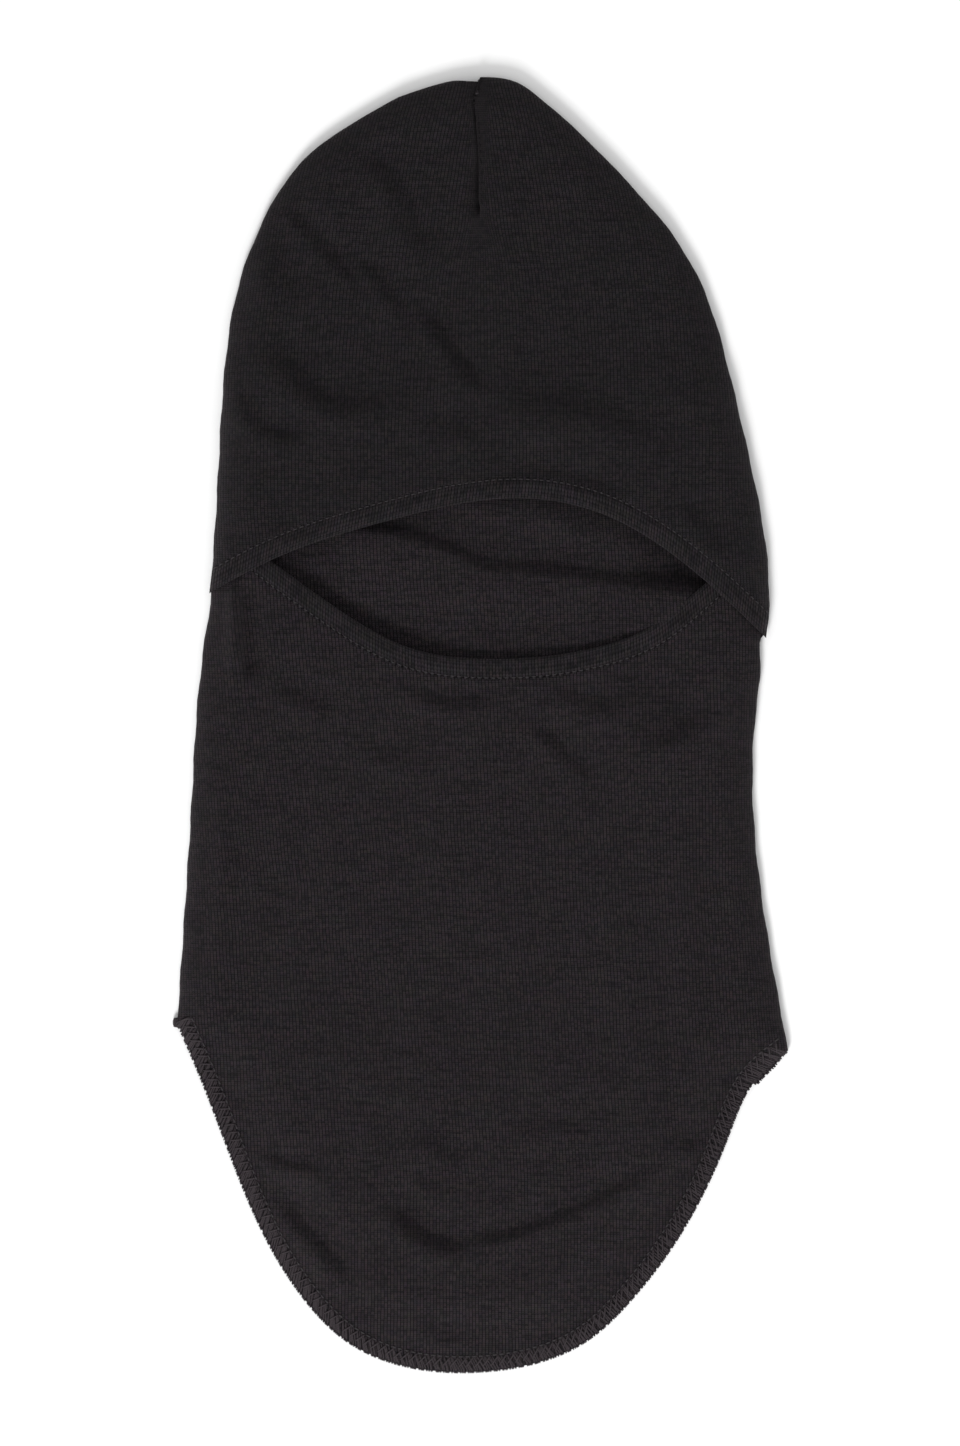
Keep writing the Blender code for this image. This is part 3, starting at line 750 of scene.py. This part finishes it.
def knit_finish(name, dark, light, bump):
    """Fine rib knit: each rib a column of chevron loops, with heathered yarn and streaks along the courses.

    Across a rib the cloth's relief falls as 1 - a^2.6 from its middle, dips between the loops' two legs, and
    swells and sinks once a course. The colour follows that relief as painted shade and light: dark in the
    gaps, lighter on the yarn's face, times the yarn's random heather and streaks.
    """
    finish, tree, shader = new_finish(name, 0.95, 0.1, 0.25)
    number = partial(maths, tree)
    place = made_node(tree, "ShaderNodeUVMap", {"uv_map": "Knit"}).outputs[0]
    split = made_node(tree, "ShaderNodeSeparateXYZ", i0=place)
    rib, course = split.outputs[0], split.outputs[1]
    across = number("ABSOLUTE", number("MULTIPLY_ADD", number("FRACT", rib), 2.0, -1.0))
    chevron = number("MULTIPLY_ADD", across, 0.45, course)
    swell = number("COSINE", number("MULTIPLY", chevron, 2 * np.pi))
    loop = number("MULTIPLY_ADD", swell, 0.5, 0.5)
    middle = number("MAXIMUM", number("MULTIPLY_ADD", across, -3.0, 1.0), 0.0)
    legs = number("MULTIPLY_ADD", middle, -0.40, 1.0)
    ridge = number("SUBTRACT", legs, number("POWER", across, 2.6))
    relief = number("MULTIPLY", ridge, number("MULTIPLY_ADD", loop, 0.4, 0.6))
    stitch = point(tree, number("FLOOR", rib), number("FLOOR", chevron))
    yarn = made_node(tree, "ShaderNodeTexWhiteNoise", {"noise_dimensions": "3D"}, Vector=stitch)
    streak_place = point(tree, number("MULTIPLY", rib, 0.08), number("MULTIPLY", course, 0.7))
    streak = made_node(tree, "ShaderNodeTexNoise", Vector=streak_place, Scale=1.0, Detail=2.0)
    cloud_place = point(tree, number("MULTIPLY", rib, 0.13), number("MULTIPLY", course, 0.16))
    cloud = made_node(tree, "ShaderNodeTexNoise", Vector=cloud_place, Scale=1.0, Detail=3.0)
    streaks = number("MULTIPLY", streak.outputs[0], 1.2)
    heather = number("MULTIPLY_ADD", yarn.outputs["Value"], 0.60, streaks)
    # Painted shade and light: the colour's level follows the relief, dark in the gaps and light on the loops,
    # times the heather
    face = number("MULTIPLY_ADD", relief, 1.60, -0.27)
    level = number("MULTIPLY", face, number("MULTIPLY", heather, 0.85))
    colour = mixed(tree, level, (*dark, 1), (*light, 1))
    colour = tinted(tree, colour, yarn.outputs["Color"], 0.16)
    colour = tinted(tree, colour, cloud.outputs["Color"], 0.22)
    height = number("MULTIPLY_ADD", yarn.outputs["Value"], 0.15, relief)
    dress(tree, shader, colour, height, 1.0, bump)
    return finish


def thread_finish(name, dark, light):
    """Spun thread: plies that wind round it, with painted light on their backs and painted shade between
    them, and a little loose fibre.
    """
    finish, tree, shader = new_finish(name, 0.75, 0.2, 0.1)
    number = partial(maths, tree)
    place = made_node(tree, "ShaderNodeUVMap", {"uv_map": "Knit"}).outputs[0]
    split = made_node(tree, "ShaderNodeSeparateXYZ", i0=place)
    wind = number("MULTIPLY_ADD", split.outputs[0], 1.6, number("MULTIPLY", split.outputs[1], 2.0))
    ply = number("MULTIPLY_ADD", number("SINE", number("MULTIPLY", wind, 2 * np.pi)), 0.5, 0.5)
    fibre = made_node(tree, "ShaderNodeTexNoise", Vector=place, Scale=3.0, Detail=2.0)
    # Painted light on the plies' backs and painted shade between them, plus the fibre's random tone
    shade = number("MULTIPLY_ADD", ply, 0.5, number("MULTIPLY", fibre.outputs[0], 0.7))
    colour = tinted(tree, mixed(tree, shade, (*dark, 1), (*light, 1)), fibre.outputs["Color"], 0.3)
    dress(tree, shader, colour, ply, 0.8, 0.0001)
    return finish


# The knit's colour deep in the gaps between ribs and loops: painted shade
PAINTED_GAP_SHADE = (0.0008, 0.0007, 0.0008)
# The cap's knit is coloured darker than the neck's: partly the cap's own tone, partly painted shade for the
# light that falls off towards the crown
CAP_KNIT = knit_finish("cap wool rib knit", PAINTED_GAP_SHADE, (0.021, 0.0184, 0.0206), 0.0003)
NECK_KNIT = knit_finish("neck wool rib knit", PAINTED_GAP_SHADE, (0.0268, 0.0223, 0.0254), 0.0003)
BAND_KNIT = knit_finish("binding wool rib knit", PAINTED_GAP_SHADE, (0.025, 0.022, 0.0243), 0.0002)
STITCH_THREAD = thread_finish("topstitch thread", (0.01, 0.009, 0.01), (0.046, 0.041, 0.044))
HEM_THREAD = thread_finish("overlock thread", (0.01, 0.008, 0.009), (0.042, 0.0335, 0.038))
LABEL_TAPE = thread_finish("label tape", (0.016, 0.015, 0.016), (0.035, 0.032, 0.034))


# ---- cloth pieces ----


def add_cap_front():
    """The cap's front: two halves that meet at the dart, the right one standing a little proud."""
    rows = towards_end(190)
    bottom = across_line(lambda x: brow(x, BINDING_WIDTH - BINDING_LAP), edge, 400)
    top = crown_arc(200)
    bottom_share = np.interp(DART_LINE[-1][1], bottom[:, 0], np.linspace(0, 1, len(bottom)))
    top_share = np.interp(DART_LINE[0][1], top[:, 0], np.linspace(0, 1, len(top)))
    low, high = resample(bottom, bottom_share), resample(top, top_share)
    y = low[1] + rows * (high[1] - low[1])
    middle = np.stack([spline(DART_LINE, np.clip(CROWN_Y - y, 0, DART_LINE_END)), y], axis=1)
    heights = [bottom[end, 1] + rows * (top[end, 1] - bottom[end, 1]) for _, end in ENDS]
    sides = [side_line(side, edge, y) for (side, _), y in zip(ENDS, heights)]
    u = both_ends(100)
    halves = (
        (u * bottom_share, u * top_share, sides[0], middle),
        (bottom_share + u * (1 - bottom_share), top_share + u * (1 - top_share), middle, sides[1]),
    )
    left, right = (
        coons(resample(bottom, below), resample(top, above), *pair, u, rows) for below, above, *pair in halves
    )
    plan = np.concatenate([lobe_step(left), right[:, 1:]], axis=1)
    outer = raised(plan, cap_top)
    outer[..., 0] += dart_lap(plan[..., 0], plan[..., 1])
    return cloth_sheet("cap_front_cloth", outer, CLOTH, knit_uv(plan, True), CAP_KNIT)


def lobe_step(plan):
    """Draws the crown's left lobe down next to the dart, so that the right one stands above it."""
    drop = np.maximum(LOBE_STEP * (1 - (CROWN_Y - plan[..., 1]) / LOBE_DEPTH), 0)
    beside = smoothstep(plan[..., 0], -LOBE_WIDTH, 0.0) * (plan[..., 0] <= DART_LINE[0][1] + DART_SEAM)
    plan[..., 1] -= drop * beside
    return plan


def cut_piece(hem, hem_share, top, side_edge, columns, side_rows, climb):
    """A Coons grid from the hem's tip up to a top line; its sides run up the hem's flanks and the outline."""
    flanks = [resample(hem, np.linspace(0, hem_share, side_rows))[::-1]]
    flanks += [resample(hem, 1 - np.linspace(0, hem_share, side_rows))[::-1]]
    sides = []
    for (side, end), flank in zip(ENDS, flanks):
        y = corner(side)[1] + climb * (top[end, 1] - corner(side)[1])
        sides.append(np.concatenate([flank, side_line(side, side_edge, y)[1:]]))
    low = reach_of(flanks[0])[-1] / (reach_of(flanks[0])[-1] + top[0, 1] - HEM_Y)
    rows = np.concatenate([np.linspace(0, low, side_rows), low + (1 - low) * climb[1:]])
    tip = resample(hem, hem_share + (1 - 2 * hem_share) * columns)
    return coons(tip, resample(top, columns), *sides, columns, rows)


def add_front():
    """The neck's front and its bib, one cut piece from the chin binding to the hem."""
    top = across_line(lambda x: chin(x, BINDING_WIDTH - BINDING_LAP), neck_edge, 500)
    plan = cut_piece(hem_line(900), 0.36, top, neck_edge, both_ends(186), 96, np.linspace(0, 1, 150))
    outer = raised(plan, neck_top)
    return cloth_sheet("neck_and_bib_front_cloth", outer, FRONT_CLOTH, knit_uv(plan, True), NECK_KNIT)


def add_back():
    """The back, one cut piece from the crown to the back bib's hem, with its own dart on its outer side."""
    climb = np.concatenate([np.linspace(0, 0.8, 160), 0.8 + 0.2 * towards_end(60)[1:]])
    plan = cut_piece(hem_line(900, BACK_HEM_PEEK), 0.36, crown_arc(300), back_edge, both_ends(160), 80, climb)
    plan = lobe_step(plan)
    under = -dart(plan[..., 0], plan[..., 1]) * BACK_DART_DEPTH
    outer = raised(plan, back_top)
    return cloth_sheet("back_cloth", outer, CLOTH, knit_uv(plan), NECK_KNIT, under, flat=True)


def add_binding(name, free, sewn, height, finish):
    """A rib band folded over an edge: a flattened loop carried along it, with a ridge across for each rib."""
    length = reach_of(free)[-1]
    ribs = round(length / WALE)
    share = np.linspace(0, 1, 4 * ribs + 1)
    free, sewn = resample(free, share), resample(sewn, share)
    turn = np.linspace(0, 2 * np.pi, 24, endpoint=False)
    across = 0.5 - 0.5 * np.sign(np.cos(turn)) * np.abs(np.cos(turn)) ** 0.8
    plan = free[:, None] + across[None, :, None] * (sewn - free)[:, None]
    wave = np.cos(2 * np.pi * ribs * share)[:, None] / 2
    up = np.sign(np.sin(turn)) * np.abs(np.sin(turn)) ** 0.62
    holes = 0.5 + 0.5 * np.cos(2 * np.pi * share * round(length / STITCH))[:, None]
    from_stitch = (across - TOPSTITCH_PLACE) * BINDING_WIDTH
    dip = np.exp(-((from_stitch / 0.0007) ** 2)) * (0.25 + 0.45 * holes) * (up > 0)
    puff = 1 + 0.1 * np.sin(37 * np.pi * share)[:, None] * np.sin(np.pi * across)
    ridges = np.sign(up) * RIB_RELIEF * wave * np.sin(np.pi * across)
    thick = BINDING_HALF_THICKNESS * (up * puff - dip) + ridges
    z = height(plan[..., 0], plan[..., 1]) - CLOTH / 2 + thick
    points = lifted(plan, z)
    index = np.arange(points[..., 0].size).reshape(points.shape[:2])
    wall = grid_quads(np.concatenate([index, index[:, :1]], axis=1))
    caps = np.stack([index[0, ::-1], index[-1]])
    around = np.abs(np.arange(len(turn)) - len(turn) / 2) * BINDING_WIDTH / COURSE / len(turn) * 2
    uv = np.stack(np.broadcast_arrays((share * ribs)[:, None] + 0.5, around[None]), axis=-1)
    return add_mesh(name, points.reshape(-1, 3), [wall[:, ::-1], caps], uv.reshape(-1, 2), finish)


# ---- threads ----


def short_stitches(name, line, height, radius, rise, share_sewn, thread):
    """A row of stitches: short threads that rise out of the cloth and dive back into it."""
    count = round(reach_of(line)[-1] / STITCH)
    local = np.linspace(-1, 1, 6)
    share = ((np.arange(count) + 0.5)[:, None] + local * share_sewn / 2) / count
    plan = resample(line, share)
    z = height(plan[..., 0], plan[..., 1]) + rise - 1.8 * radius * local**2
    return tubes(name, lifted(plan, z), radius, 6, UP, thread)


def overlock(name, line, inward, low, high, thread, lanes, steps, sides):
    """Overlock: slanted strands in groups, one group a stitch, over a cloth's edge and back under it."""
    length = reach_of(line)[-1]
    count = round(length / OVERLOCK_PITCH)
    rng = np.random.default_rng(11)
    start = (np.arange(count)[:, None] + 0.2 + np.arange(lanes) * GROUP_SHARE / lanes).ravel()
    start += rng.uniform(-0.09, 0.09, start.size)
    turn = np.linspace(-1, 1, steps)
    deep = np.clip(np.abs(turn) * 1.1 - 0.1, 0, 1)
    slant = OVERLOCK_SLANT * inward * deep * rng.uniform(0.7, 1.25, (start.size, 1)) / length
    share = np.clip(start[:, None] / count - slant, 0, 1)
    outside = resample(line, share)
    inside = resample(offset(line, inward), share)
    reach = rng.uniform(0.94, 1.02, (start.size, 1))
    plan = outside + (deep * reach)[..., None] * (inside - outside)
    plan -= STRAND_RADIUS * (inside - outside) / abs(inward) * np.exp(-((turn / 0.2) ** 2))[None, :, None]
    top, bottom = high(plan[..., 0], plan[..., 1]), low(plan[..., 0], plan[..., 1])
    swing = -np.sin(np.pi * turn / 2)
    half = (top - bottom) / 2 + 0.0001 + rng.uniform(-0.0001, 0.00016, (start.size, 1))
    z = (top + bottom) / 2 + half * np.sign(swing) * np.abs(swing) ** 0.3
    step = OVERLOCK_PITCH / length
    ahead, behind = (resample(line, np.clip(share + beyond, 0, 1)) for beyond in (step, -step))
    way = lifted(ahead - behind, np.zeros(share.shape))
    way /= np.linalg.norm(way, axis=-1, keepdims=True)
    return tubes(name, lifted(plan, z), STRAND_RADIUS, sides, way, thread)


def looper_crossings(name, line, height):
    """Where the looper thread crosses back over the strands: short threads leaning the other way."""
    count = round(reach_of(line)[-1] / OVERLOCK_PITCH)
    rng = np.random.default_rng(12)
    local = np.linspace(0, 1, 6)
    start = (np.arange(count) + rng.uniform(0.3, 0.5, count)) / count
    share = np.clip(start[:, None] + CROSSING_LEAN * (local - 1) / count, 0, 1)
    deep = 0.3 + 0.68 * local
    outside = resample(line, share)
    inside = resample(offset(line, OVERLOCK_WIDTH), share)
    plan = outside + deep[None, :, None] * (inside - outside)
    z = height(plan[..., 0], plan[..., 1]) + 0.00075 - 0.0006 * (2 * local - 1) ** 2
    return tubes(name, lifted(plan, z), STRAND_RADIUS, 5, UP, HEM_THREAD)


def hem_threads(name, line, low, high):
    """A hem's three-thread overlock: its strands, and the needle's row of stitches where they end."""
    strands = overlock(name, line, OVERLOCK_WIDTH, low, high, HEM_THREAD, 4, 9, 5)
    crossings = looper_crossings(name + "_crossings", line, high)
    needle = offset(line, OVERLOCK_WIDTH * 0.98)
    row = short_stitches(name + "_row", needle, high, 0.00032, 0.00030, 0.72, STITCH_THREAD)
    return join([strands, crossings, row], name)


def add_allowance(name, raw_edge, fold, height, inward):
    """A seam allowance inside: a strip of cloth from its fold to its raw edge, wound with strands."""
    columns = np.linspace(0, 1, max(round(reach_of(raw_edge)[-1] / 0.002), 12))
    raw_edge, fold = resample(raw_edge, columns), resample(fold, columns)
    across = np.linspace(0, 1, 7)[:, None, None]
    plan = raw_edge + across * (fold - raw_edge)
    if inward < 0:
        plan = plan[:, ::-1]
    strip = cloth_sheet(name, raised(plan, height), ALLOWANCE, knit_uv(plan), NECK_KNIT)
    under = lowered(height, ALLOWANCE)
    strands = overlock(name + "_strands", raw_edge, inward, under, height, HEM_THREAD, 2, 7, 4)
    return join([strip, strands], name)


def level(height):
    """A flat surface at the given height."""
    return lambda x, y: np.full(x.shape, height)


def lowered(height, depth):
    """The surface that lies below another one by a depth."""
    return lambda x, y: height(x, y) - depth


def side_allowance(name, side, low, high):
    """Down a side: the raw edge lies inwards, and the fold beside the outline."""
    line = side_line(side, edge, np.linspace(low, high, 200))
    fold, raw_edge = offset(line, side * SEAM_INSET), offset(line, side * (SEAM_INSET + SEAM_WIDTH))
    return add_allowance(name, raw_edge, fold, level(ALLOWANCE_TOP), -side * SEAM_WIDTH)


def dart_allowance(name, height):
    """Beside the dart: a straight strip under its right side."""
    y = np.linspace(CROWN_Y - DART_LENGTH + 0.0005, CROWN_Y - DART_HEAD_ROOM - 0.0005, 60)
    fold, raw_edge = (np.stack([np.full(y.shape, x), y], axis=1) for x in DART_SEAM_SIDES)
    return add_allowance(name, raw_edge, fold, height, DART_SEAM_SIDES[1] - DART_SEAM_SIDES[0])


def add_corner_tack():
    """The overlock's thread tail, wound round itself at the left corner of the hem: a helix that narrows."""
    low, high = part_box("left_corner_tack")
    middle = (np.array(low) + np.array(high)) / 2
    half = (np.array(high) - np.array(low)) / 2
    share = np.linspace(-1, 1, 90)
    radius = (half[0] + 0.0001) * (0.35 + 0.65 * np.sqrt(1 - 0.9 * share**2))
    turn = 6.5 * 2 * np.pi * share / 2
    path = np.stack([radius * np.cos(turn), half[1] * share, radius * np.sin(turn)], axis=-1) + middle
    path[:, 0] += TACK_IN
    return tubes("left_corner_tack_thread", path[None], 0.00034, 6, np.array([0, 1.0, 0]), HEM_THREAD)


def add_care_label():
    """A blank woven label with one edge in the side seam: a thin sheet with a slight wave, and stitches."""
    low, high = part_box("care_label")
    x, y = np.meshgrid(np.linspace(low[0], high[0], 36), np.linspace(low[1], high[1], 48))
    wave = 0.0001 * np.sin((y - low[1]) * 420) * (high[0] - x) / (high[0] - low[0])
    outer = np.stack([x, y, high[2] + wave], axis=-1)
    uv = np.stack([x / 0.0005, y / 0.0005], axis=-1)
    label = cloth_sheet("care_label_tape", outer, LABEL_THICKNESS, uv, LABEL_TAPE)
    seam = np.array([[high[0] - 0.0016, low[1] + 0.0006], [high[0] - 0.0016, high[1] - 0.0006]])
    row = short_stitches("care_label_stitches", seam, level(high[2]), 0.00018, 0.0001, 0.8, STITCH_THREAD)
    return join([label, row], "care_label_tape")


def join(pieces, name):
    """One object of several."""
    with bpy.context.temp_override(active_object=pieces[0], selected_editable_objects=pieces):
        bpy.ops.object.join()
    pieces[0].name = name
    pieces[0].data.name = name
    return pieces[0]


cap_front = add_cap_front()
front = add_front()
back = add_back()

# The bindings and their topstitches
brow_free = across_line(brow, edge, 300)
brow_sewn = across_line(lambda x: brow(x, BINDING_WIDTH), edge, 300)
upper_binding = add_binding("upper_face_binding_rib", brow_free, brow_sewn, cap_top, BAND_KNIT)
chin_free = across_line(chin, neck_edge, 300, CHIN_BAND_INSET)
chin_sewn = across_line(lambda x: chin(x, BINDING_WIDTH), neck_edge, 300, CHIN_BAND_INSET)
lower_binding = add_binding("lower_face_binding_rib", chin_free[::-1], chin_sewn[::-1], neck_top, BAND_KNIT)
sunk = CLOTH / 2 - BINDING_HALF_THICKNESS * 0.5
brow_line = across_line(lambda x: brow(x, BINDING_WIDTH * TOPSTITCH_PLACE), edge, 300)
chin_line = across_line(lambda x: chin(x, BINDING_WIDTH * TOPSTITCH_PLACE), neck_edge, 300, CHIN_BAND_INSET)
stitch_look = (0.00024, 0.00014, 0.62, STITCH_THREAD)
upper_topstitch = short_stitches("upper_topstitch_thread", brow_line, lowered(cap_top, sunk), *stitch_look)
lower_topstitch = short_stitches("lower_topstitch_thread", chin_line, lowered(neck_top, sunk), *stitch_look)

# The hems
front_line, back_line = hem_line(900), hem_line(900, BACK_HEM_PEEK)
front_hem = hem_threads("front_hem_overlock_threads", front_line, lowered(neck_top, FRONT_CLOTH), neck_top)
back_hem = hem_threads("back_hem_overlock_threads", back_line, lowered(back_top, CLOTH), back_top)

# The seams inside
join_y = CROWN_Y - CROWN_SEAM_END
seams = {}
for side, word in ((LEFT, "left"), (RIGHT, "right")):
    low = corner(side)[1] + SEAM_WIDTH + 0.001
    high = CROWN_Y - CROWN_STATIONS[0][0] - 0.004
    name = f"{word}_side_seam"
    seams[name] = side_allowance(name + "_allowance", side, low, join_y - SEAM_JOIN_GAP)
    name = f"{word}_crown_seam"
    seams[name] = side_allowance(name + "_allowance", side, join_y, high)
seams["front_dart_seam"] = dart_allowance("front_dart_seam_allowance", lowered(cap_top, CLOTH + 0.0005))
seams["back_dart_seam"] = dart_allowance("back_dart_seam_allowance", level(ALLOWANCE_TOP))
tack = add_corner_tack()
label = add_care_label()

# ---- what rides on what ----


def across_fold(piece):
    """Bakes a piece's placement into its points."""
    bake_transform(piece)


across_fold(front)
across_fold(front_hem)
across_fold(back)
across_fold(back_hem)
bindings = (upper_binding, lower_binding, upper_topstitch, lower_topstitch)
for piece in (cap_front, *bindings, *seams.values(), tack, label):
    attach(piece, "garment")

# Each piece with the record's material slot and the nodes it stands for
stands_for = [
    (cap_front, "cap_cloth", "cap_front_panel"),
    (front, "neck_cloth", "neck_front_panel", "front_bib_flap"),
    (back, "neck_cloth", "back_panel", "back_bib_flap"),
    (upper_binding, "binding_cloth", "upper_face_binding"),
    (lower_binding, "binding_cloth", "lower_face_binding"),
    (upper_topstitch, "thread", "upper_binding_topstitch"),
    (lower_topstitch, "thread", "lower_binding_topstitch"),
    (front_hem, "hem_thread", "front_hem_overlock"),
    (back_hem, "hem_thread", "back_hem_overlock"),
    (tack, "hem_thread", "left_corner_tack"),
    (label, "label_tape", "care_label"),
]
stands_for += [(piece, "hem_thread", node) for node, piece in seams.items()]
for piece, slot, *nodes in stands_for:
    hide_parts(*nodes)

# ---- floor, light and camera ----


def add_floor():
    """A plain pale floor just below the garment."""
    finish, _, shader = new_finish("pale floor", 0.9, 0.1, 0.0)
    shader.inputs["Base Color"].default_value = (0.93, 0.93, 0.93, 1)
    bpy.ops.mesh.primitive_plane_add(size=8, location=(0, 0, -0.0001))
    floor = bpy.context.object
    floor.name = "floor"
    floor.data.materials.append(finish)


def add_softbox(name, place, size, watts):
    """A square softbox that faces the garment."""
    light = bpy.data.lights.new(name, "AREA")
    light.size = size
    light.energy = watts
    lamp = bpy.data.objects.new(name, light)
    lamp.location = place
    lamp.rotation_euler = (-lamp.location).to_track_quat("-Z", "Y").to_euler()
    bpy.context.scene.collection.objects.link(lamp)


def add_world(strength):
    """Even white light from all round."""
    world = bpy.data.worlds.new("studio")
    world.use_nodes = True
    world.node_tree.nodes["Background"].inputs["Color"].default_value = (1, 1, 1, 1)
    world.node_tree.nodes["Background"].inputs["Strength"].default_value = strength
    bpy.context.scene.world = world


def add_camera():
    """A long lens straight above, framed so that the garment fills nine tenths of the height."""
    view_height = 0.5379
    distance = 6.0
    sensor = 36.0
    data = bpy.data.cameras.new("camera")
    data.sensor_width = sensor
    data.lens = sensor * distance / view_height
    data.clip_end = 50
    camera = bpy.data.objects.new("camera", data)
    camera.location = (0.0002, 0, distance)
    bpy.context.scene.collection.objects.link(camera)
    bpy.context.scene.camera = camera


add_floor()
add_softbox("key softbox", (-0.5, -1.9, 1.5), 0.7, 49)
add_world(0.77)
add_camera()
bpy.context.scene.view_settings.view_transform = "Standard"
